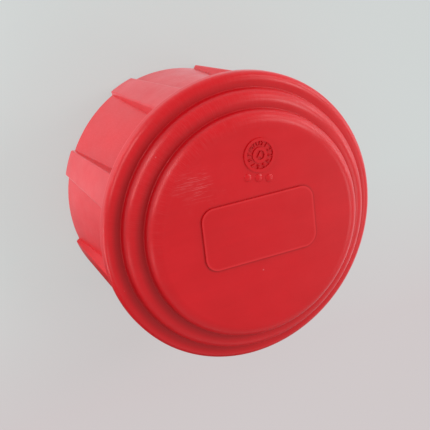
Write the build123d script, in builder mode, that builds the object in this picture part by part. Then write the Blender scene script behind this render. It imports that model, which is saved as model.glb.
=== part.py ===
from build123d import *
from math import radians, sqrt, tan
import os

os.makedirs("parts", exist_ok=True)

# A soft end plug for a round tube of about 110 mm outside diameter.
# It stands on its open end, with its closed face up, and Z runs along its axis.
# X runs along the length of the raised panel on the face.

# Flange that stops at the mouth of the tube
flange_radius = 55.0
flange_rim_height = 2.5
flange_edge_radius = 3.5
flange_land = 2.15
flange_rear_bevel = 0.3

# Ring and disc that rise from the flange, each with a short wall and a full round shoulder
ring_wall_height = 0.6
ring_edge_radius = 5.05
ring_land = 1.55
disc_wall_height = 0.8
disc_edge_radius = 4.85

# Hollow barrel, open at the bottom, thinner at its mouth
barrel_length = 57.8
barrel_draft = 0.3
tube_shoulder = 6.5
mouth_bevel = 0.5
wall = 2.6
core_draft = 0.5
core_bevel = 1.5

# Wedge pads along the barrel, wider and taller towards the flange
pad_count = 8
pad_phase = 22.5
pad_mouth_height = 1.5
pad_flange_height = 4.85
pad_mouth_width = 10.2
pad_flange_width = 13.0
pad_side_draft = 11.0
pad_edge_bevel = 0.4

# Raised rectangular panel in the middle of the face
panel_length = 45.2
panel_width = 23.6
panel_corner_radius = 5.0
panel_rise = 0.5
panel_edge_bevel = 0.25

# Radii and heights of the tiers
ring_radius = flange_radius - flange_edge_radius - flange_land
disc_radius = ring_radius - ring_edge_radius - ring_land
flange_top = barrel_length + flange_rim_height + flange_edge_radius
ring_top = flange_top + ring_wall_height + ring_edge_radius
face_height = ring_top + disc_wall_height + disc_edge_radius

barrel_flange_radius = flange_radius - tube_shoulder
barrel_mouth_radius = barrel_flange_radius - barrel_length * tan(radians(barrel_draft))


# Outline of one pad on the X side of the axis, at the mouth (0) or at the flange (1)
def pad_section(place):
    barrel_radius = barrel_mouth_radius + (barrel_flange_radius - barrel_mouth_radius) * place
    pad_height = pad_mouth_height + (pad_flange_height - pad_mouth_height) * place
    crest_radius = barrel_radius + pad_height
    half_crest = (pad_mouth_width + (pad_flange_width - pad_mouth_width) * place) / 2
    crest_corner = sqrt(crest_radius**2 - half_crest**2)
    root = barrel_mouth_radius - wall / 2
    half_root = half_crest + (crest_corner - root) * tan(radians(pad_side_draft))
    with BuildSketch(Plane.XY.offset(barrel_length * place)) as section:
        with BuildLine():
            ThreePointArc((crest_corner, -half_crest), (crest_radius, 0), (crest_corner, half_crest))
            Line((crest_corner, half_crest), (root, half_root))
            Line((root, half_root), (root, -half_root))
            Line((root, -half_root), (crest_corner, -half_crest))
        make_face()
    return section.sketch


# One pad, sunk into the barrel's wall, with bevels on its crest's sides and mouth end
with BuildPart() as pad:
    add(pad_section(0))
    add(pad_section(1))
    loft(ruled=True)
    crest = pad.faces().sort_by(Axis.X)[-1]
    chamfer(crest.edges().sort_by(Axis.Z)[:-1], pad_edge_bevel)

# Corners of the plug's outside, from the axis at the open end to the middle of the face,
# each with the radius that rounds it
outside = [
    ((0, 0), 0),
    ((barrel_mouth_radius - mouth_bevel, 0), 0),
    ((barrel_mouth_radius, mouth_bevel), 0),
    ((barrel_flange_radius, barrel_length), 0),
    ((flange_radius - flange_rear_bevel, barrel_length), 0),
    ((flange_radius, barrel_length + flange_rear_bevel), 0),
    ((flange_radius, flange_top), flange_edge_radius),
    ((ring_radius, flange_top), 0),
    ((ring_radius, ring_top), ring_edge_radius),
    ((disc_radius, ring_top), 0),
    ((disc_radius, face_height), disc_edge_radius),
    ((0, face_height), 0),
]

# Corners of the hollow, which follows the ring and the disc at the wall's thickness
core_mouth_radius = barrel_mouth_radius - wall
core_step_radius = core_mouth_radius - (ring_top - wall) * tan(radians(core_draft))
core_disc_radius = disc_radius - wall
core_top = face_height - wall
hollow = [
    (0, 0),
    (core_mouth_radius, 0),
    (core_step_radius, ring_top - wall - core_bevel),
    (core_step_radius - core_bevel, ring_top - wall),
    (core_disc_radius, ring_top - wall),
    (core_disc_radius, core_top - core_bevel),
    (core_disc_radius - core_bevel, core_top),
    (0, core_top),
]

# The whole plug, moulded in one piece
with BuildPart() as plug_body:
    with BuildSketch(Plane.XZ):
        with BuildLine():
            corners = [corner for corner, radius in outside]
            radii = [radius for corner, radius in outside]
            FilletPolyline(*corners, radius=radii, close=True)
        make_face()
    revolve(axis=Axis.Z)

    with PolarLocations(0, pad_count, start_angle=pad_phase):
        add(pad.part)

    with BuildSketch(Plane.XZ):
        with BuildLine():
            Polyline(*hollow, close=True)
        make_face()
    revolve(axis=Axis.Z, mode=Mode.SUBTRACT)

    # Panel with bevelled edges
    with BuildSketch(Plane.XY.offset(face_height)):
        RectangleRounded(panel_length, panel_width, panel_corner_radius)
    extrude(amount=panel_rise)
    chamfer(plug_body.faces().sort_by(Axis.Z)[-1].edges(), panel_edge_bevel)

plug_body.part.label = "plug_body"
export_step(plug_body.part, "parts/plug_body.step")
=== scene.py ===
import bpy
import bmesh
import math
from mathutils import Euler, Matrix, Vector


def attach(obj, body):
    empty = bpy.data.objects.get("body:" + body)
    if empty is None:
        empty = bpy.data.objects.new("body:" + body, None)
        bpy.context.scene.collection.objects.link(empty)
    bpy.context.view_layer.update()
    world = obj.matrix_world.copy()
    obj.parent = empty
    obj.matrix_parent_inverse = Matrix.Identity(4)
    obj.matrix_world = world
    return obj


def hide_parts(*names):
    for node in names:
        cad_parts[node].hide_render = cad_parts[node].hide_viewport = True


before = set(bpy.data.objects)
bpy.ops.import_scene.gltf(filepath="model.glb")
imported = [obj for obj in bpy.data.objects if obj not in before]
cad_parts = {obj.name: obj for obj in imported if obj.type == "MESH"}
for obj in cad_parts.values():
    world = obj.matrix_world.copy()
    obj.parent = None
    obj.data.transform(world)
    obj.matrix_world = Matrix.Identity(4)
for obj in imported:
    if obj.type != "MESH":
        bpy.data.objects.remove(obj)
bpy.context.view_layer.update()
mm = 0.001  # lengths in the dictionaries below are millimetres, and turns are degrees
mergeGap = 0.01 * mm


# Small helpers for node trees

def addNode(tree, kind, inputs=None, **settings):
    node = tree.nodes.new(kind)
    for key, value in settings.items():
        setattr(node, key, value)
    for key, value in (inputs or {}).items():
        if isinstance(value, bpy.types.NodeSocket):
            tree.links.new(value, node.inputs[key])
        else:
            node.inputs[key].default_value = value
    return node


def mathNode(tree, operation, first, second=0.0):
    return addNode(tree, "ShaderNodeMath", {0: first, 1: second}, operation=operation).outputs[0]


def combined(tree, x=0.0, y=0.0, z=0.0):
    return addNode(tree, "ShaderNodeCombineXYZ", {"X": x, "Y": y, "Z": z}).outputs[0]


def joined(tree, *parts):
    both = addNode(tree, "GeometryNodeJoinGeometry")
    for part in parts:
        tree.links.new(part, both.inputs["Geometry"])
    return both.outputs[0]


# Smooth faces, with a sharp edge wherever two of them bend by more than the angle
def smoothByAngle(tree, geometry, angle):
    smooth = addNode(tree, "GeometryNodeSetShadeSmooth", {"Geometry": geometry}, domain="FACE")
    bend = addNode(tree, "GeometryNodeInputMeshEdgeAngle").outputs["Unsigned Angle"]
    sharp = addNode(tree, "FunctionNodeCompare", {0: bend, 1: angle}, data_type="FLOAT", operation="GREATER_THAN")
    return addNode(tree, "GeometryNodeSetShadeSmooth", {
        "Geometry": smooth.outputs[0],
        "Selection": sharp.outputs[0],
        "Shade Smooth": False,
    }, domain="EDGE").outputs[0]


# A geometry tree with named inputs: (name, socket type) pairs
def newTree(name, sockets):
    tree = bpy.data.node_groups.new(name, "GeometryNodeTree")
    face = tree.interface
    face.new_socket("Geometry", in_out="INPUT", socket_type="NodeSocketGeometry")
    for label, kind in sockets:
        face.new_socket(label, in_out="INPUT", socket_type=kind)
    face.new_socket("Geometry", in_out="OUTPUT", socket_type="NodeSocketGeometry")
    return tree, addNode(tree, "NodeGroupInput").outputs


def endTree(tree, geometry):
    addNode(tree, "NodeGroupOutput", {"Geometry": geometry})
    return tree


# Puts a tree on an object, with its inputs set by socket identifier
def useTree(target, tree, values):
    modifier = target.modifiers.new(tree.name, "NODES")
    modifier.node_group = tree
    for item in tree.interface.items_tree:
        if item.in_out == "INPUT" and item.name in values:
            modifier[item.identifier] = values[item.name]
    return modifier


# Turns an object and its live modifiers into a plain mesh of the same name, with no empty material slot
def bake(target):
    bpy.context.view_layer.update()
    depsgraph = bpy.context.evaluated_depsgraph_get()
    mesh = bpy.data.meshes.new_from_object(target.evaluated_get(depsgraph))
    mesh.name = target.name
    target.modifiers.clear()
    target.data = mesh
    if None in mesh.materials[:]:
        painted = [material for material in mesh.materials if material]
        mesh.materials.clear()
        for material in painted:
            mesh.materials.append(material)
        mesh.polygons.foreach_set("material_index", [0] * len(mesh.polygons))
    return target


def newObject(name, mesh):
    made = bpy.data.objects.new(name, mesh)
    bpy.context.scene.collection.objects.link(made)
    return made


# The moulded body: a turned shell with wedge pads and a panel

plugSizes = {
    "flangeRadius": 55.0,
    "flangeRimHeight": 2.5,
    "flangeEdgeRadius": 3.5,
    "flangeLand": 2.15,
    "flangeRearRadius": 0.35,
    "ringWallHeight": 0.6,
    "ringEdgeRadius": 5.05,
    "ringLand": 1.55,
    "discWallHeight": 0.8,
    "discEdgeRadius": 4.85,
    "rootRadius": 0.3,
    "supportGap": 0.3,
    "barrelLength": 57.8,
    "barrelDraft": 0.3,
    "tubeShoulder": 6.5,
    "mouthRadius": 0.5,
    "wall": 2.6,
    "coreDraft": 0.5,
    "coreCornerRadius": 1.8,
    "turnSteps": 288,
    "roundSteps": 10,
    "sharpAngle": 32.0,
}

padSizes = {
    "count": 8,
    "phase": 22.5,
    "mouthHeight": 1.5,
    "flangeHeight": 4.85,
    "mouthWidth": 10.2,
    "flangeWidth": 13.0,
    "sideDraft": 11.0,
    "edgeRadius": 0.45,
    "edgeSteps": 3,
    "edgeAngle": 40.0,
    "supportGap": 0.9,
    "mouthGap": 0.1,
    "sink": 1.5,
    "crestSteps": 12,
}

panelSizes = {
    "length": 45.2,
    "width": 23.6,
    "cornerRadius": 5.0,
    "rise": 0.5,
    "sink": 0.6,
    "edgeRadius": 0.45,
    "edgeSteps": 5,
    "supportGap": 0.3,
    "cornerSteps": 12,
}


# Radii and heights that follow from the sizes
def plugHeights(s):
    heights = {}
    heights["ringRadius"] = s["flangeRadius"] - s["flangeEdgeRadius"] - s["flangeLand"]
    heights["discRadius"] = heights["ringRadius"] - s["ringEdgeRadius"] - s["ringLand"]
    heights["flangeTop"] = s["barrelLength"] + s["flangeRimHeight"] + s["flangeEdgeRadius"]
    heights["ringTop"] = heights["flangeTop"] + s["ringWallHeight"] + s["ringEdgeRadius"]
    heights["face"] = heights["ringTop"] + s["discWallHeight"] + s["discEdgeRadius"]
    heights["barrelFlangeRadius"] = s["flangeRadius"] - s["tubeShoulder"]
    drop = s["barrelLength"] * math.tan(math.radians(s["barrelDraft"]))
    heights["barrelMouthRadius"] = heights["barrelFlangeRadius"] - drop
    return heights


plug = plugHeights(plugSizes)


# Corners of the shell's section, from the middle of the face round to the middle of the hollow,
# each with the radius that rounds it
def plugSection(s, h):
    wall = s["wall"]
    coreMouth = h["barrelMouthRadius"] - wall
    coreStep = coreMouth - (h["ringTop"] - wall) * math.tan(math.radians(s["coreDraft"]))
    coreDisc = h["discRadius"] - wall
    return [
        (0, h["face"], 0),
        (h["discRadius"], h["face"], s["discEdgeRadius"]),
        (h["discRadius"], h["ringTop"], s["rootRadius"]),
        (h["ringRadius"], h["ringTop"], s["ringEdgeRadius"]),
        (h["ringRadius"], h["flangeTop"], s["rootRadius"]),
        (s["flangeRadius"], h["flangeTop"], s["flangeEdgeRadius"]),
        (s["flangeRadius"], s["barrelLength"], s["flangeRearRadius"]),
        (h["barrelFlangeRadius"], s["barrelLength"], s["rootRadius"]),
        (h["barrelMouthRadius"], 0, s["mouthRadius"]),
        (coreMouth, 0, s["mouthRadius"] / 2),
        (coreStep, h["ringTop"] - wall, s["coreCornerRadius"]),
        (coreDisc, h["ringTop"] - wall, s["rootRadius"]),
        (coreDisc, h["face"] - wall, s["coreCornerRadius"]),
        (0, h["face"] - wall, 0),
    ]


# Adds points beside each rounded corner, which keep the flat runs between them flat in shading
def supportedSection(section, gap):
    held = [section[0]]
    for before, corner, after in zip(section, section[1:], section[2:]):
        here = Vector(corner[:2])
        back, on = Vector(before[:2]) - here, Vector(after[:2]) - here
        reach = gap + corner[2] / math.tan(back.angle(on) / 2)
        for run in (back, on):
            if run.length > reach + gap:
                beside = here + run.normalized() * reach
                held.append((beside.x, beside.y, 0))
            if run is back:
                held.append(corner)
    held.append(section[-1])
    return held


# Rounds the section's corners and turns it about the Z axis into a closed shell
def turnedShellTree():
    tree, given = newTree("turnedShell", [
        ("Turn Steps", "NodeSocketInt"),
        ("Round Steps", "NodeSocketInt"),
    ])
    rounding = addNode(tree, "GeometryNodeInputNamedAttribute", {"Name": "rounding"}, data_type="FLOAT")
    chain = addNode(tree, "GeometryNodeMeshToCurve", {"Mesh": given["Geometry"]})
    rounded = addNode(tree, "GeometryNodeFilletCurve", {
        "Curve": chain.outputs[0],
        "Count": given["Round Steps"],
        "Radius": rounding.outputs["Attribute"],
        "Limit Radius": True,
    }, mode="POLY")
    line = addNode(tree, "GeometryNodeCurveToMesh", {"Curve": rounded.outputs[0]})
    count = addNode(tree, "GeometryNodeAttributeDomainSize", {"Geometry": line.outputs[0]}, component="MESH")
    rows = count.outputs["Point Count"]
    columns = mathNode(tree, "ADD", given["Turn Steps"], 1.0)
    sheet = addNode(tree, "GeometryNodeMeshGrid", {"Vertices X": columns, "Vertices Y": rows})
    index = addNode(tree, "GeometryNodeInputIndex").outputs[0]
    row = mathNode(tree, "MODULO", index, rows)
    column = mathNode(tree, "FLOOR", mathNode(tree, "DIVIDE", mathNode(tree, "ADD", index, 0.5), rows))
    turn = mathNode(tree, "MULTIPLY", mathNode(tree, "DIVIDE", column, given["Turn Steps"]), math.tau)
    position = addNode(tree, "GeometryNodeInputPosition").outputs[0]
    corner = addNode(tree, "GeometryNodeSampleIndex", {
        "Geometry": line.outputs[0],
        "Value": position,
        "Index": row,
    }, data_type="FLOAT_VECTOR", domain="POINT")
    turned = addNode(tree, "ShaderNodeVectorRotate", {
        "Vector": corner.outputs[0],
        "Angle": turn,
    }, rotation_type="Z_AXIS")
    placed = addNode(tree, "GeometryNodeSetPosition", {
        "Geometry": sheet.outputs["Mesh"],
        "Position": turned.outputs[0],
    })
    closed = addNode(tree, "GeometryNodeMergeByDistance", {
        "Geometry": placed.outputs[0],
        "Distance": mergeGap,
    })
    outward = addNode(tree, "GeometryNodeFlipFaces", {"Mesh": closed.outputs[0]})
    return endTree(tree, outward.outputs[0])


# Sets one pad round the shell as often as asked, and fuses pads, panel and shell into one skin
def fusedBodyTree():
    tree, given = newTree("fusedBody", [
        ("Pad", "NodeSocketObject"),
        ("Pad Count", "NodeSocketInt"),
        ("Pad Phase", "NodeSocketFloat"),
        ("Panel", "NodeSocketObject"),
        ("Sharp Angle", "NodeSocketFloat"),
        ("Material", "NodeSocketMaterial"),
    ])
    pad = addNode(tree, "GeometryNodeObjectInfo", {"Object": given["Pad"]})
    panel = addNode(tree, "GeometryNodeObjectInfo", {"Object": given["Panel"]})
    seats = addNode(tree, "GeometryNodePoints", {"Count": given["Pad Count"]})
    index = addNode(tree, "GeometryNodeInputIndex").outputs[0]
    pitch = mathNode(tree, "DIVIDE", math.tau, given["Pad Count"])
    angle = mathNode(tree, "ADD", given["Pad Phase"], mathNode(tree, "MULTIPLY", index, pitch))
    pads = addNode(tree, "GeometryNodeInstanceOnPoints", {
        "Points": seats.outputs[0],
        "Instance": pad.outputs["Geometry"],
        "Rotation": combined(tree, z=angle),
    })
    loose = addNode(tree, "GeometryNodeRealizeInstances", {"Geometry": pads.outputs[0]})
    fused = addNode(tree, "GeometryNodeMeshBoolean", operation="UNION", solver="MANIFOLD")
    for part in (given["Geometry"], loose.outputs[0], panel.outputs["Geometry"]):
        tree.links.new(part, fused.inputs["Mesh 2"])
    clean = addNode(tree, "GeometryNodeMergeByDistance", {"Geometry": fused.outputs[0], "Distance": mergeGap})
    shaded = smoothByAngle(tree, clean.outputs[0], given["Sharp Angle"])
    real = addNode(tree, "GeometryNodeRealizeInstances", {"Geometry": shaded})
    painted = addNode(tree, "GeometryNodeSetMaterial", {
        "Geometry": real.outputs[0],
        "Material": given["Material"],
    })
    return endTree(tree, painted.outputs[0])


# Outline of one pad on the X side of the axis, at a height above the open end
def padOutline(height):
    share = height / plugSizes["barrelLength"]
    barrel = plug["barrelMouthRadius"] + (plug["barrelFlangeRadius"] - plug["barrelMouthRadius"]) * share
    crest = barrel + padSizes["mouthHeight"] + (padSizes["flangeHeight"] - padSizes["mouthHeight"]) * share
    width = padSizes["mouthWidth"] + (padSizes["flangeWidth"] - padSizes["mouthWidth"]) * share
    halfTurn = math.asin(width / 2 / crest)
    steps = padSizes["crestSteps"]
    turns = [halfTurn * (2 * step / steps - 1) for step in range(steps + 1)]
    outline = [(crest * math.cos(turn), crest * math.sin(turn)) for turn in turns]
    root = plug["barrelMouthRadius"] - plugSizes["wall"] / 2
    drop = outline[-1][0] - root
    flare = math.tan(math.radians(padSizes["sideDraft"]))
    side = [(outline[-1][0] - depth, width / 2 + depth * flare) for depth in (padSizes["supportGap"], drop)]
    outline += side + [(x, -y) for x, y in reversed(side)]
    return [(x, y, height) for x, y in outline]


# One pad, a little longer than the barrel so that it ends inside the flange
def padObject():
    low, high = padSizes["mouthGap"], plugSizes["barrelLength"] + padSizes["sink"]
    heights = (low, low + padSizes["supportGap"], high)
    mesh = bpy.data.meshes.new("pad")
    work = bmesh.new()
    rings = [[work.verts.new(Vector(p) * mm) for p in padOutline(height)] for height in heights]
    corners = len(rings[0])
    for below, above in zip(rings, rings[1:]):
        for i in range(corners):
            j = (i + 1) % corners
            work.faces.new((below[i], below[j], above[j], above[i]))
    work.faces.new(reversed(rings[0]))
    work.faces.new(rings[-1])
    bmesh.ops.recalc_face_normals(work, faces=work.faces)
    work.to_mesh(mesh)
    work.free()
    made = newObject("pad", mesh)
    bevel = made.modifiers.new("edges", "BEVEL")
    bevel.width = padSizes["edgeRadius"] * mm
    bevel.segments = padSizes["edgeSteps"]
    bevel.limit_method = "ANGLE"
    bevel.angle_limit = math.radians(padSizes["edgeAngle"])
    return bake(made)


# Outline of a rectangle with round corners, in millimetres
def roundedRectangle(length, width, radius, steps):
    outline = []
    for side, (sx, sy) in enumerate(((1, 1), (-1, 1), (-1, -1), (1, -1))):
        centre = Vector((sx * (length / 2 - radius), sy * (width / 2 - radius)))
        for step in range(steps + 1):
            turn = math.radians(90) * (side + step / steps)
            outline.append(centre + radius * Vector((math.cos(turn), math.sin(turn))))
    return outline


# The panel, sunk in the face, with a rounded upper edge
def panelObject():
    outline = roundedRectangle(panelSizes["length"], panelSizes["width"],
                               panelSizes["cornerRadius"], panelSizes["cornerSteps"])
    mesh = bpy.data.meshes.new("panel")
    work = bmesh.new()
    low, high = plug["face"] - panelSizes["sink"], plug["face"] + panelSizes["rise"]
    base = [work.verts.new(Vector((p.x, p.y, low)) * mm) for p in outline]
    top = [work.verts.new(Vector((p.x, p.y, high)) * mm) for p in outline]
    for i in range(len(outline)):
        j = (i + 1) % len(outline)
        work.faces.new((base[i], base[j], top[j], top[i]))
    work.faces.new(reversed(base))
    cap = work.faces.new(top)
    rim = list(cap.edges)
    inset = (panelSizes["edgeRadius"] + panelSizes["supportGap"]) * mm
    bmesh.ops.inset_region(work, faces=[cap], thickness=inset)
    bmesh.ops.bevel(work, geom=rim, offset=panelSizes["edgeRadius"] * mm,
                    segments=panelSizes["edgeSteps"], profile=0.5, affect="EDGES")
    work.to_mesh(mesh)
    work.free()
    return newObject("panel", mesh)


def plugBody(material):
    section = supportedSection(plugSection(plugSizes, plug), plugSizes["supportGap"])
    mesh = bpy.data.meshes.new("plugBody")
    points = [Vector((radius, 0, height)) * mm for radius, height, rounding in section]
    mesh.from_pydata(points, [(i, i + 1) for i in range(len(points) - 1)], [])
    roundings = mesh.attributes.new("rounding", "FLOAT", "POINT")
    roundings.data.foreach_set("value", [rounding * mm for radius, height, rounding in section])
    body = newObject("plugBody", mesh)
    useTree(body, turnedShellTree(), {
        "Turn Steps": plugSizes["turnSteps"],
        "Round Steps": plugSizes["roundSteps"],
    })
    pad, panel = padObject(), panelObject()
    useTree(body, fusedBodyTree(), {
        "Pad": pad,
        "Pad Count": padSizes["count"],
        "Pad Phase": math.radians(padSizes["phase"]),
        "Panel": panel,
        "Sharp Angle": math.radians(plugSizes["sharpAngle"]),
        "Material": material,
    })
    bake(body)
    for helper in (pad, panel):
        bpy.data.objects.remove(helper)
    return body


# A mould's date dial: two rings, a round of plain numbers and a pointer, raised from the face

dialSizes = {
    "centre": (2.75, 26.9),
    "turn": -13.0,
    "radius": 6.1,
    "hubRadius": 2.3,
    "circleSteps": (96, 64),
    "lineWidth": 0.8,
    "edgeSlope": 0.15,
    "numbers": 12,
    "numberRadius": 4.15,
    "numberSize": 2.2,
    "pointerLength": 1.5,
    "height": 0.42,
    "sink": 0.3,
}


# Closed plates of an even thickness, from flat outlines and upwards
def raisedPlates(tree, outlines, thickness):
    flat = addNode(tree, "GeometryNodeFillCurve", {"Curve": outlines}, mode="NGONS").outputs[0]
    top = addNode(tree, "GeometryNodeExtrudeMesh", {
        "Mesh": flat,
        "Offset": combined(tree, z=thickness),
        "Offset Scale": 1.0,
        "Individual": False,
    }, mode="FACES").outputs["Mesh"]
    under = addNode(tree, "GeometryNodeFlipFaces", {"Mesh": flat}).outputs[0]
    plates = joined(tree, top, under)
    return addNode(tree, "GeometryNodeMergeByDistance", {"Geometry": plates, "Distance": mergeGap}).outputs[0]


# Moves, turns and finishes a mark, and ends its tree
def endMark(tree, given, mark):
    placed = addNode(tree, "GeometryNodeTransform", {
        "Geometry": mark,
        "Translation": given["Place"],
        "Rotation": combined(tree, z=given["Turn"]),
    })
    real = addNode(tree, "GeometryNodeRealizeInstances", {"Geometry": placed.outputs[0]})
    shaded = smoothByAngle(tree, real.outputs[0], math.radians(plugSizes["sharpAngle"]))
    painted = addNode(tree, "GeometryNodeSetMaterial", {
        "Geometry": shaded,
        "Material": given["Material"],
    })
    return endTree(tree, painted.outputs[0])


def dateDialTree():
    tree, given = newTree("dateDial", [
        ("Place", "NodeSocketVector"),
        ("Turn", "NodeSocketFloat"),
        ("Radius", "NodeSocketFloat"),
        ("Hub Radius", "NodeSocketFloat"),
        ("Line Width", "NodeSocketFloat"),
        ("Edge Slope", "NodeSocketFloat"),
        ("Number Radius", "NodeSocketFloat"),
        ("Number Size", "NodeSocketFloat"),
        ("Pointer Length", "NodeSocketFloat"),
        ("Thickness", "NodeSocketFloat"),
        ("Material", "NodeSocketMaterial"),
    ])
    outer, hub = [addNode(tree, "GeometryNodeCurvePrimitiveCircle", {"Resolution": steps, "Radius": radius})
                  for steps, radius in zip(dialSizes["circleSteps"], (given["Radius"], given["Hub Radius"]))]
    slopes = mathNode(tree, "MULTIPLY", given["Edge Slope"], 2.0)
    bar = addNode(tree, "GeometryNodeCurvePrimitiveQuadrilateral", {
        "Bottom Width": mathNode(tree, "ADD", given["Line Width"], slopes),
        "Top Width": given["Line Width"],
        "Offset": 0.0,
        "Height": given["Thickness"],
    }, mode="TRAPEZOID")
    rings = addNode(tree, "GeometryNodeCurveToMesh", {
        "Curve": joined(tree, outer.outputs[0], hub.outputs[0]),
        "Profile Curve": bar.outputs[0],
    })
    middle = mathNode(tree, "DIVIDE", given["Thickness"], 2.0)
    raised = addNode(tree, "GeometryNodeTransform", {
        "Geometry": rings.outputs[0],
        "Translation": combined(tree, z=middle),
    })

    count = dialSizes["numbers"]
    texts = addNode(tree, "GeometryNodeGeometryToInstance")
    for number in range(count, 0, -1):
        text = addNode(tree, "GeometryNodeStringToCurves", {
            "String": str(number),
            "Size": given["Number Size"],
        }, align_x="CENTER", align_y="MIDDLE")
        tree.links.new(text.outputs[0], texts.inputs[0])
    index = addNode(tree, "GeometryNodeInputIndex").outputs[0]
    clock = mathNode(tree, "MULTIPLY", mathNode(tree, "ADD", index, 1.0), -math.tau / count)
    out = addNode(tree, "ShaderNodeVectorRotate", {
        "Vector": combined(tree, y=given["Number Radius"]),
        "Angle": clock,
    }, rotation_type="Z_AXIS")
    seats = addNode(tree, "GeometryNodePoints", {"Count": count, "Position": out.outputs[0]})
    numbers = addNode(tree, "GeometryNodeInstanceOnPoints", {
        "Points": seats.outputs[0],
        "Instance": texts.outputs[0],
        "Pick Instance": True,
        "Instance Index": index,
        "Rotation": combined(tree, z=clock),
    })
    outlines = addNode(tree, "GeometryNodeRealizeInstances", {"Geometry": numbers.outputs[0]})

    pointer = addNode(tree, "GeometryNodeCurvePrimitiveQuadrilateral", {
        "Point 1": (0, 1, 0),
        "Point 2": (0.62, -0.7, 0),
        "Point 3": (0, -0.35, 0),
        "Point 4": (-0.62, -0.7, 0),
    }, mode="POINTS")
    length = given["Pointer Length"]
    sized = addNode(tree, "GeometryNodeTransform", {
        "Geometry": pointer.outputs[0],
        "Scale": combined(tree, length, length, length),
    })
    plates = raisedPlates(tree, joined(tree, outlines.outputs[0], sized.outputs[0]), given["Thickness"])
    return endMark(tree, given, joined(tree, raised.outputs[0], plates))


# A place on the face, or as far under its surface as a mark is sunk
def facePlace(centre, sink):
    return Vector((centre[0], centre[1], plug["face"] - sink)) * mm


def dateDial(material):
    s = dialSizes
    dial = newObject("dateDial", bpy.data.meshes.new("dateDial"))
    useTree(dial, dateDialTree(), {
        "Place": facePlace(s["centre"], s["sink"]),
        "Turn": math.radians(s["turn"]),
        "Radius": (s["radius"] - s["lineWidth"] / 2) * mm,
        "Hub Radius": s["hubRadius"] * mm,
        "Line Width": s["lineWidth"] * mm,
        "Edge Slope": s["edgeSlope"] * mm,
        "Number Radius": s["numberRadius"] * mm,
        "Number Size": s["numberSize"] * mm,
        "Pointer Length": s["pointerLength"] * mm,
        "Thickness": (s["height"] + s["sink"]) * mm,
        "Material": material,
    })
    return bake(dial)


# A short row of plain domed pips under the dial

pipSizes = {
    "centre": (1.5, 18.6),
    "turn": -13.0,
    "count": 3,
    "spacing": 4.3,
    "radius": 1.5,
    "height": 0.46,
    "steps": 40,
}


# Each pip is a squashed ball, with its lower half sunk in the face
def pipRowTree():
    tree, given = newTree("pipRow", [
        ("Place", "NodeSocketVector"),
        ("Turn", "NodeSocketFloat"),
        ("Count", "NodeSocketInt"),
        ("Spacing", "NodeSocketFloat"),
        ("Radius", "NodeSocketFloat"),
        ("Height", "NodeSocketFloat"),
        ("Steps", "NodeSocketInt"),
        ("Material", "NodeSocketMaterial"),
    ])
    index = addNode(tree, "GeometryNodeInputIndex").outputs[0]
    half = mathNode(tree, "DIVIDE", mathNode(tree, "SUBTRACT", given["Count"], 1.0), 2.0)
    along = mathNode(tree, "MULTIPLY", mathNode(tree, "SUBTRACT", index, half), given["Spacing"])
    seats = addNode(tree, "GeometryNodePoints", {
        "Count": given["Count"],
        "Position": combined(tree, x=along),
    })
    ball = addNode(tree, "GeometryNodeMeshUVSphere", {
        "Segments": given["Steps"],
        "Rings": mathNode(tree, "DIVIDE", given["Steps"], 2.0),
        "Radius": given["Radius"],
    })
    squash = mathNode(tree, "DIVIDE", given["Height"], given["Radius"])
    row = addNode(tree, "GeometryNodeInstanceOnPoints", {
        "Points": seats.outputs[0],
        "Instance": ball.outputs["Mesh"],
        "Scale": combined(tree, 1.0, 1.0, squash),
    })
    return endMark(tree, given, row.outputs[0])


def pipRow(material):
    s = pipSizes
    row = newObject("pipRow", bpy.data.meshes.new("pipRow"))
    useTree(row, pipRowTree(), {
        "Place": facePlace(s["centre"], 0),
        "Turn": math.radians(s["turn"]),
        "Count": s["count"],
        "Spacing": s["spacing"] * mm,
        "Radius": s["radius"] * mm,
        "Height": s["height"] * mm,
        "Steps": s["steps"],
        "Material": material,
    })
    return bake(row)


# Soft red polyethylene: flow mottling, fine moulded grain, painted shade in creases, painted highlights on edges,
# hatch marks that run over the rounded steps and down the barrel, specks of lint, and scuffs in one worn place on the
# face

redLook = {
    "deepRed": (0.585, 0.0008, 0.0052, 1),
    "lightRed": (0.655, 0.0024, 0.0084, 1),
    "specularLevel": 0.34,
    "roughness": (0.28, 0.37),
    "roughnessScale": 130.0,
    "mottleScale": 48.0,
    "flowScale": 33.6,
    "grainScale": 900.0,
    "grainHeight": 0.003,
    "peelScale": 320.0,
    "peelHeight": 0.010,
}

# Painted shade: darker red in the creases at the foot of the ring and the disc, and along the panel's foot, deeper on
# one side of the plug
creaseLook = {
    "colour": (0.410, 0.0006, 0.0040, 1),
    "middle": (-0.3, 1.0),  # from the foot of the step, outwards and upwards
    "reach": (0.8, 3.0),
    "spread": 0.6,  # distances outwards count for this share
    "depth": (0.05, 0.97),  # on the side where little shade is painted and on the side where most is
    "shadedTurn": 182.0,
}

# Painted highlights along the flange's rear edge and just inside the panel's edge, and how much painted shade the
# panel's foot takes
edgeLook = {
    "rearHighlightColour": (0.80, 0.100, 0.110, 1),
    "rearReach": (0.3, 0.7),
    "rimHighlightColour": (0.760, 0.030, 0.036, 1),
    "rimShare": 0.5,
    "footShare": 0.7,
}

hatchLook = {
    "scale": 150.0,
    "stretch": 3.0,
    "share": 0.22,
    "rubbedTurn": 100.0,
    "height": 0.010,
}

scuffLook = {
    "colour": (0.72, 0.085, 0.095, 1),
    "place": (-22.3, 20.9, 75.1),
    "radius": 9.0,
    "ragged": 4.0,
    "scratchSets": ((4, 100.0, 0.615), (35, 120.0, 0.66), (-50, 120.0, 0.67)),  # turn, scale, where they start
    "stretch": 26,
    "share": 0.6,
    "haze": 0.16,
    "roughness": 0.12,
    "height": 0.02,
}

lintLook = {
    "colour": (0.80, 0.25, 0.26, 1),
    "scale": 120.0,
    "size": 0.03,
    "chosenFrom": 0.80,
    "share": 0.35,
}


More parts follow.
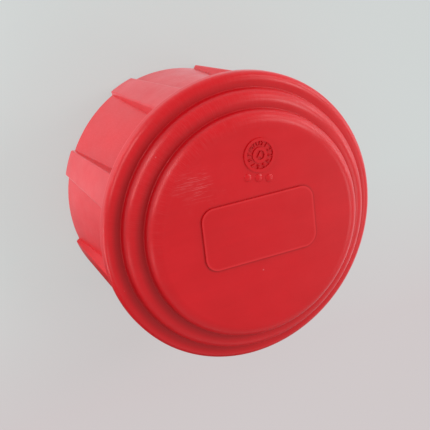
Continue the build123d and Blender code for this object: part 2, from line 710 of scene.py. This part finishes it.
def vectorMath(tree, operation, first, second=None):
    inputs = {0: first} if second is None else {0: first, 1: second}
    node = addNode(tree, "ShaderNodeVectorMath", inputs, operation=operation)
    return node.outputs["Value" if operation in ("LENGTH", "DISTANCE", "DOT_PRODUCT") else "Vector"]


def product(tree, first, *others):
    for other in others:
        first = mathNode(tree, "MULTIPLY", first, other)
    return first


def axesOf(tree, vector):
    return addNode(tree, "ShaderNodeSeparateXYZ", {0: vector}).outputs


def noise(tree, vector, scale, detail=2.0, roughness=0.5):
    return addNode(tree, "ShaderNodeTexNoise", {
        "Vector": vector,
        "Scale": scale,
        "Detail": detail,
        "Roughness": roughness,
    }).outputs[0]


def ranged(tree, value, low, high, toLow=0.0, toHigh=1.0, **settings):
    return addNode(tree, "ShaderNodeMapRange", {
        "Value": value,
        "From Min": low,
        "From Max": high,
        "To Min": toLow,
        "To Max": toHigh,
    }, **settings).outputs[0]


def blended(tree, share, first, second):
    return addNode(tree, "ShaderNodeMix", {0: share, 6: first, 7: second}, data_type="RGBA").outputs[2]


def bumped(tree, height, depth, under=None):
    inputs = {"Height": height, "Distance": depth * mm, "Strength": 1.0}
    if under:
        inputs["Normal"] = under
    return addNode(tree, "ShaderNodeBump", inputs).outputs[0]


def mapped(tree, vector, place=(0, 0, 0), turn=0.0, scale=(1, 1, 1)):
    return addNode(tree, "ShaderNodeMapping", {
        "Vector": vector,
        "Location": [-side * mm for side in place],
        "Rotation": (0, 0, math.radians(turn)),
        "Scale": scale,
    }).outputs[0]


# How far a direction leans to one side of the plug: 1 is straight to it, -1 is straight away
def leaning(tree, direction, degrees):
    turn = math.radians(degrees)
    return vectorMath(tree, "DOT_PRODUCT", direction, (math.cos(turn), math.sin(turn), 0))


# How far a point lies outside the panel's outline
def panelDistance(tree, spot):
    radius = panelSizes["cornerRadius"]
    half = (panelSizes["length"] / 2 - radius, panelSizes["width"] / 2 - radius)
    past = vectorMath(tree, "SUBTRACT", vectorMath(tree, "ABSOLUTE", spot), (half[0] * mm, half[1] * mm, 1))
    sides = axesOf(tree, past)
    corner = vectorMath(tree, "LENGTH", vectorMath(tree, "MAXIMUM", past, (0, 0, 0)))
    inner = mathNode(tree, "MINIMUM", mathNode(tree, "MAXIMUM", sides["X"], sides["Y"]), 0.0)
    return mathNode(tree, "SUBTRACT", mathNode(tree, "ADD", corner, inner), radius * mm)


# How far a point lies from a crease, counted shorter outwards, where its shade spreads further
def creaseDistance(tree, section, root):
    middle = [(side + shift) * mm for side, shift in zip(root, creaseLook["middle"])]
    offsets = axesOf(tree, vectorMath(tree, "SUBTRACT", section, (*middle, 0)))
    outward = mathNode(tree, "MULTIPLY", mathNode(tree, "MAXIMUM", offsets["X"], 0.0), creaseLook["spread"])
    inward = mathNode(tree, "MINIMUM", offsets["X"], 0.0)
    return vectorMath(tree, "LENGTH", combined(tree, mathNode(tree, "ADD", outward, inward), offsets["Y"]))


# Where the creases at the foot of the ring and the disc are, and how far the painted shade in them reaches
def creaseShare(tree, section):
    roots = [(plug["discRadius"], plug["ringTop"]), (plug["ringRadius"], plug["flangeTop"])]
    gaps = [creaseDistance(tree, section, root) for root in roots]
    inner, outer = creaseLook["reach"]
    return ranged(tree, mathNode(tree, "MINIMUM", *gaps), outer * mm, inner * mm, interpolation_type="SMOOTHSTEP")


# Hatch marks: thin lines that follow the section, strongest on the rubbed side and faint in the creases
def hatchShare(tree, around, height, radius, crease):
    turned = axesOf(tree, around)
    steep = combined(tree, turned["X"], turned["Y"], mathNode(tree, "MULTIPLY", height, hatchLook["stretch"]))
    lines = ranged(tree, noise(tree, steep, hatchLook["scale"], 2.0, 0.7), 0.45, 0.75)
    offFace = ranged(tree, radius, 36.5 * mm, 39.5 * mm)
    offFlange = ranged(tree, radius, 49.5 * mm, 51.5 * mm, 1.0, 0.45)
    paleShare = ranged(tree, leaning(tree, around, hatchLook["rubbedTurn"]), -0.2, 0.7, 0.12, 1.0)
    return product(tree, lines, offFace, offFlange, paleShare, ranged(tree, crease, 0.0, 1.0, 1.0, 0.15))


# Scuffs: fine crossed scratches that fade out round one place, and a faint haze under them
def scuffShares(tree, spot):
    s = scuffLook
    away = vectorMath(tree, "DISTANCE", spot, [side * mm for side in s["place"]])
    ragged = ranged(tree, noise(tree, spot, 160.0, 3.0), 0.3, 0.7, -s["ragged"] * mm, s["ragged"] * mm)
    patch = ranged(tree, mathNode(tree, "ADD", away, ragged), s["radius"] * mm, s["radius"] * 0.3 * mm)
    lines = None
    for turn, scale, low in s["scratchSets"]:
        strokes = noise(tree, mapped(tree, spot, s["place"], turn, (1, s["stretch"], 1)), scale, 1.0)
        strokes = ranged(tree, strokes, low, low + 0.05)
        lines = mathNode(tree, "MAXIMUM", lines, strokes) if lines else strokes
    haze = ranged(tree, noise(tree, spot, 420.0, 4.0, 0.65), 0.40, 0.75, 0.0, s["haze"])
    return product(tree, lines, patch), product(tree, patch, haze)


# Lint: small pale specks, in a few of the pattern's cells
def lintShare(tree, spot):
    cells = addNode(tree, "ShaderNodeTexVoronoi", {"Vector": spot, "Scale": lintLook["scale"]}).outputs
    fromShare, size = lintLook["chosenFrom"], lintLook["size"]
    chosen = ranged(tree, axesOf(tree, cells["Color"])["X"], fromShare, fromShare + 0.02)
    return product(tree, ranged(tree, cells["Distance"], size * 1.4, size), chosen)


def softRedMaterial(look):
    material = bpy.data.materials.new("softRed")
    material.use_nodes = True
    tree = material.node_tree
    shader = tree.nodes["Principled BSDF"]
    spot = addNode(tree, "ShaderNodeTexCoord").outputs["Object"]
    axes = axesOf(tree, spot)
    flat = combined(tree, axes["X"], axes["Y"])
    around = vectorMath(tree, "NORMALIZE", flat)
    radius = vectorMath(tree, "LENGTH", flat)
    section = combined(tree, radius, axes["Z"])

    # Slow changes of the red, and its fine grain
    mottle = noise(tree, spot, look["mottleScale"], 3.0)
    flow = noise(tree, mapped(tree, spot, turn=14, scale=(1, 5, 1)), look["flowScale"], 4.0, 0.6)
    grain = noise(tree, spot, look["grainScale"], 3.0, 0.6)
    slow = mathNode(tree, "ADD", product(tree, mottle, 0.6), product(tree, flow, 0.4))
    shade = mathNode(tree, "ADD", ranged(tree, slow, 0.36, 0.64, 0.0, 0.85), ranged(tree, grain, 0.3, 0.7, 0.0, 0.15))
    colour = blended(tree, shade, look["deepRed"], look["lightRed"])

    # Painted shade in the creases, deeper on one side of the plug
    crease = creaseShare(tree, section)
    sideShade = ranged(tree, leaning(tree, around, creaseLook["shadedTurn"]), -1.0, 1.0, *creaseLook["depth"])
    colour = blended(tree, product(tree, crease, sideShade), colour, creaseLook["colour"])

    # The flange's rear edge: a pale line painted on as a highlight, uneven with the mottle
    rearEdge = (plugSizes["flangeRadius"] * mm, plugSizes["barrelLength"] * mm, 0)
    near, past = edgeLook["rearReach"]
    rear = ranged(tree, vectorMath(tree, "DISTANCE", section, rearEdge), past * mm, near * mm)
    paleShare = product(tree, rear, ranged(tree, mottle, 0.3, 0.6, 0.4, 0.8))
    colour = blended(tree, paleShare, colour, edgeLook["rearHighlightColour"])

    # The panel's outline: painted shade along its foot, and a pale line just inside its edge, a painted highlight
    # that also stands for wear
    beyond = panelDistance(tree, spot)
    onFace = ranged(tree, axes["Z"], (plug["face"] - 0.4) * mm, (plug["face"] - 0.2) * mm)
    foot = mathNode(tree, "MINIMUM", ranged(tree, beyond, -0.1 * mm, 0.1 * mm),
                    ranged(tree, beyond, 0.9 * mm, 0.2 * mm))
    colour = blended(tree, product(tree, foot, onFace, edgeLook["footShare"]), colour, creaseLook["colour"])
    rim = mathNode(tree, "MINIMUM", ranged(tree, beyond, 0.0, -0.2 * mm),
                   ranged(tree, beyond, -0.9 * mm, -0.4 * mm))
    colour = blended(tree, product(tree, rim, onFace, edgeLook["rimShare"]), colour, edgeLook["rimHighlightColour"])

    # Wear and lint over the colour
    hatches = hatchShare(tree, around, axes["Z"], radius, crease)
    colour = blended(tree, product(tree, hatches, hatchLook["share"]), colour, scuffLook["colour"])
    scuffs, haze = scuffShares(tree, spot)
    worn = mathNode(tree, "MAXIMUM", product(tree, scuffs, scuffLook["share"]), haze)
    colour = blended(tree, worn, colour, scuffLook["colour"])
    colour = blended(tree, product(tree, lintShare(tree, spot), lintLook["share"]), colour, lintLook["colour"])
    tree.links.new(colour, shader.inputs["Base Color"])

    # Gloss: uneven, and duller where the skin is scuffed
    gloss = ranged(tree, noise(tree, spot, look["roughnessScale"], 4.0, 0.65), 0.3, 0.7, *look["roughness"])
    dulled = mathNode(tree, "ADD", gloss, product(tree, scuffs, scuffLook["roughness"]))
    tree.links.new(dulled, shader.inputs["Roughness"])
    shader.inputs["Specular IOR Level"].default_value = look["specularLevel"]

    peel = bumped(tree, noise(tree, spot, look["peelScale"], 2.0), look["peelHeight"])
    fine = bumped(tree, grain, look["grainHeight"], peel)
    hatched = bumped(tree, hatches, hatchLook["height"], fine)
    scratched = bumped(tree, scuffs, scuffLook["height"], hatched)
    tree.links.new(scratched, shader.inputs["Normal"])
    return material


softRed = softRedMaterial(redLook)
print("material made:", len(softRed.node_tree.nodes), "nodes")

body = plugBody(softRed)
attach(body, "root")
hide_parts("plug_body")
print("body made:", len(body.data.polygons), "faces")

for mark in (dateDial(softRed), pipRow(softRed)):
    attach(mark, "root")
    print(mark.name, "made:", len(mark.data.polygons), "faces")

# Camera at the photograph's viewing angle

cameraSizes = {
    "location": (-157.6, 130.2, 401.4),
    "turn": (-15.946, -25.341, -7.038),
    "lens": 89.1,
    "sensor": 36.0,
    "shift": (-0.00105, 0.0015),
    "clipStart": 10.0,
}

cameraData = bpy.data.cameras.new("camera")
cameraData.lens = cameraSizes["lens"]
cameraData.sensor_width = cameraSizes["sensor"]
cameraData.clip_start = cameraSizes["clipStart"] * mm
cameraData.shift_x, cameraData.shift_y = cameraSizes["shift"]
camera = newObject("camera", cameraData)
camera.location = Vector(cameraSizes["location"]) * mm
camera.rotation_euler = Euler([math.radians(turn) for turn in cameraSizes["turn"]])
bpy.context.scene.camera = camera

# Soft square lamps round the plug, and two low strips for the barrel and the flange's back

studioSizes = {
    "worldStrength": 0.67,
    "aim": (0, 0, 65),
    "distance": 900.0,
    "side": 250.0,
    "stripAim": (0, 0, 45),
    "stripDistance": 120.0,
    "stripHeight": 8.0,
    "stripSides": (70.0, 20.0),
    "floorReach": 3000.0,
    "floorColour": (0.85, 0.85, 0.85, 1),
    "floorFar": (0.632, 0.662, 0.654, 1),
    # floorNear: warmer and pinker, painted in front for the red light the plug throws on the floor
    "floorNear": (0.634, 0.585, 0.590, 1),
    "floorToneFrom": (-15.0, -90.0),
    # floorMirrored and floorMirroredDim: the white glow that the plug's gloss sees, a painted reflection, and its
    # painted shadow on one side
    "floorMirrored": (0.96, 0.945, 1.0, 1),
    "floorMirroredDim": (0.08, 0.08, 0.08, 1),
    "floorEvenness": (0.72, 0.94),
    "floorEvenFrom": (75.0, 130.0),
    "dimTurn": 250.0,
}

lamps = {  # degrees round the plug, degrees above the floor, watts
    "keyLamp": (22.5, 40, 1.55),
    "keyLowLamp": (22.5, 8, 0.90),
    "keySideLamp": (337.5, 40, 0.71),
    "rightLamp": (0, 8, 0.65),
    "upperLamp": (45, 22, 0.72),
    "leftLamp": (135, 8, 1.44),
    "leftSideLamp": (157.5, 8, 0.93),
    "frontLamp": (202.5, 8, 0.41),
}

strips = {  # degrees round the plug, watts
    "upperStrip": (142, 0.0126),
    "leftStrip": (190, 0.0144),
}


def areaLamp(name, place, aim, sides, watts):
    light = bpy.data.lights.new(name, "AREA")
    light.shape = "RECTANGLE"
    light.size, light.size_y = [side * mm for side in sides]
    light.energy = watts
    lamp = newObject(name, light)
    lamp.location = place
    lamp.rotation_euler = (Vector(aim) * mm - place).to_track_quat("-Z", "Y").to_euler()
    lamp.visible_camera = False
    return lamp


for name, (turn, rise, watts) in lamps.items():
    turn, rise = math.radians(turn), math.radians(rise)
    toward = Vector((math.cos(turn) * math.cos(rise), math.sin(turn) * math.cos(rise), math.sin(rise)))
    place = (Vector(studioSizes["aim"]) + toward * studioSizes["distance"]) * mm
    areaLamp(name, place, studioSizes["aim"], [studioSizes["side"]] * 2, watts)

for name, (turn, watts) in strips.items():
    turn, away = math.radians(turn), studioSizes["stripDistance"]
    place = Vector((away * math.cos(turn), away * math.sin(turn), studioSizes["stripHeight"])) * mm
    areaLamp(name, place, studioSizes["stripAim"], studioSizes["stripSides"], watts)

world = bpy.data.worlds.new("studio")
bpy.context.scene.world = world
world.use_nodes = True
world.node_tree.nodes["Background"].inputs["Color"].default_value = (1, 1, 1, 1)
world.node_tree.nodes["Background"].inputs["Strength"].default_value = studioSizes["worldStrength"]


# The camera sees the floor as a nearly even pale grey that keeps the plug's shadow, with a warmer, pinkish tone
# painted in front for the red light the plug throws on it; in the plug's gloss the floor glows white, a painted
# reflection, dim on one side as a painted shadow
def paleFloorMaterial(s):
    material = bpy.data.materials.new("paleFloor")
    material.use_nodes = True
    tree = material.node_tree
    tree.nodes.clear()
    ray = addNode(tree, "ShaderNodeLightPath").outputs
    spot = addNode(tree, "ShaderNodeTexCoord").outputs["Object"]

    start, end = s["floorToneFrom"]
    across = ranged(tree, axesOf(tree, spot)["Y"], start * mm, end * mm)
    tone = blended(tree, across, s["floorFar"], s["floorNear"])
    shaded = addNode(tree, "ShaderNodeBsdfDiffuse", {"Color": tone}).outputs[0]
    even = addNode(tree, "ShaderNodeEmission", {"Color": tone, "Strength": 1.0}).outputs[0]
    start, end = s["floorEvenFrom"]
    evenness = ranged(tree, vectorMath(tree, "LENGTH", spot), start * mm, end * mm, *s["floorEvenness"])
    seen = addNode(tree, "ShaderNodeMixShader", {0: evenness, 1: shaded, 2: even}).outputs[0]

    # A white glow for the plug's gloss, a painted reflection, darkened by painted shadow on one side
    facing = leaning(tree, vectorMath(tree, "NORMALIZE", spot), s["dimTurn"])
    mirroredGlow = blended(tree, ranged(tree, facing, 0.8, 0.15), s["floorMirroredDim"], s["floorMirrored"])
    white = addNode(tree, "ShaderNodeEmission", {"Color": mirroredGlow, "Strength": 1.0}).outputs[0]
    lit = addNode(tree, "ShaderNodeBsdfDiffuse", {"Color": s["floorColour"]}).outputs[0]
    toGloss = mathNode(tree, "MAXIMUM", ray["Is Glossy Ray"], ray["Is Transmission Ray"])
    mirrored = addNode(tree, "ShaderNodeMixShader", {0: toGloss, 1: lit, 2: white}).outputs[0]
    surface = addNode(tree, "ShaderNodeMixShader", {0: ray["Is Camera Ray"], 1: mirrored, 2: seen}).outputs[0]
    addNode(tree, "ShaderNodeOutputMaterial", {"Surface": surface})
    return material


floorMesh = bpy.data.meshes.new("floor")
edge = studioSizes["floorReach"] * mm
floorMesh.from_pydata([(-edge, -edge, 0), (edge, -edge, 0), (edge, edge, 0), (-edge, edge, 0)], [], [(0, 1, 2, 3)])
floor = newObject("floor", floorMesh)
floorMesh.materials.append(paleFloorMaterial(studioSizes))
print("studio made:", len(lamps) + len(strips), "lamps")

bpy.context.scene.view_settings.view_transform = "Standard"
